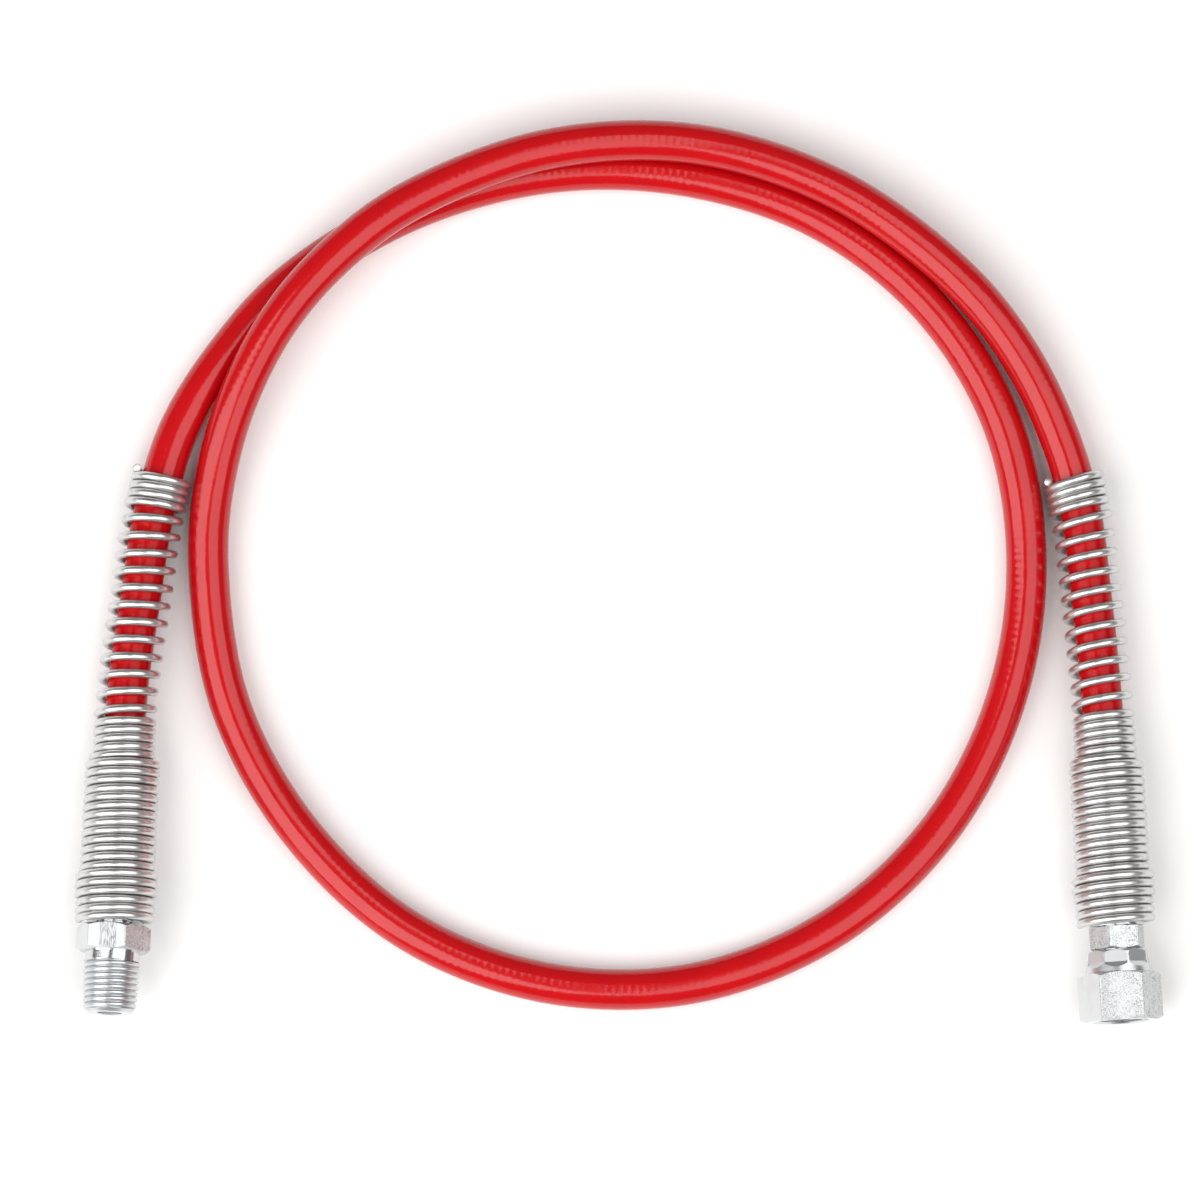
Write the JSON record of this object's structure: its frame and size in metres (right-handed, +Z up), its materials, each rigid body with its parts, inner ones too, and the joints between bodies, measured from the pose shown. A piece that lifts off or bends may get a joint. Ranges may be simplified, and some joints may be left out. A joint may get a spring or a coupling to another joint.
{
  "type": "whip hose",
  "caption": "Coiled high-pressure whip hose with a male pipe thread at one end, a hex swivel nut at the other, and a spring bend guard over each end.",
  "frame": {"origin": "middle of the assembly's box in X and Y, on the surface that it lies on", "axes": "+X from the male fitting to the swivel fitting, +Y from the fittings to the far side of the coil, +Z up"},
  "size_m": [0.26, 0.2172, 0.0211],
  "materials": {
    "hose_cover": "smooth glossy red polyurethane cover",
    "braid": "plaited synthetic fibre",
    "core_tube": "natural nylon",
    "plated_steel": "bright zinc plating over bar stock",
    "spring_wire": "bright drawn and plated wire"
  },
  "bodies": {
    "hose_assembly": {"hose_cover": "hose_cover", "outer_braid": "braid", "inner_braid": "braid", "core_tube": "core_tube", "male_fitting": "plated_steel", "male_ferrule": "plated_steel", "male_spring_guard": "spring_wire", "swivel_stem": "plated_steel", "swivel_ferrule": "plated_steel", "swivel_spring_guard": "spring_wire"},
    "swivel_nut": {"swivel_nut": "plated_steel"}
  },
  "joints": [
    {"name": "nut_swivel", "type": "hinge", "parent": "hose_assembly", "child": "swivel_nut", "pos_m": [0.11968, -0.10077, 0.01047], "axis": [0.0558, -0.9983, 0.0175], "continuous": true}
  ]
}
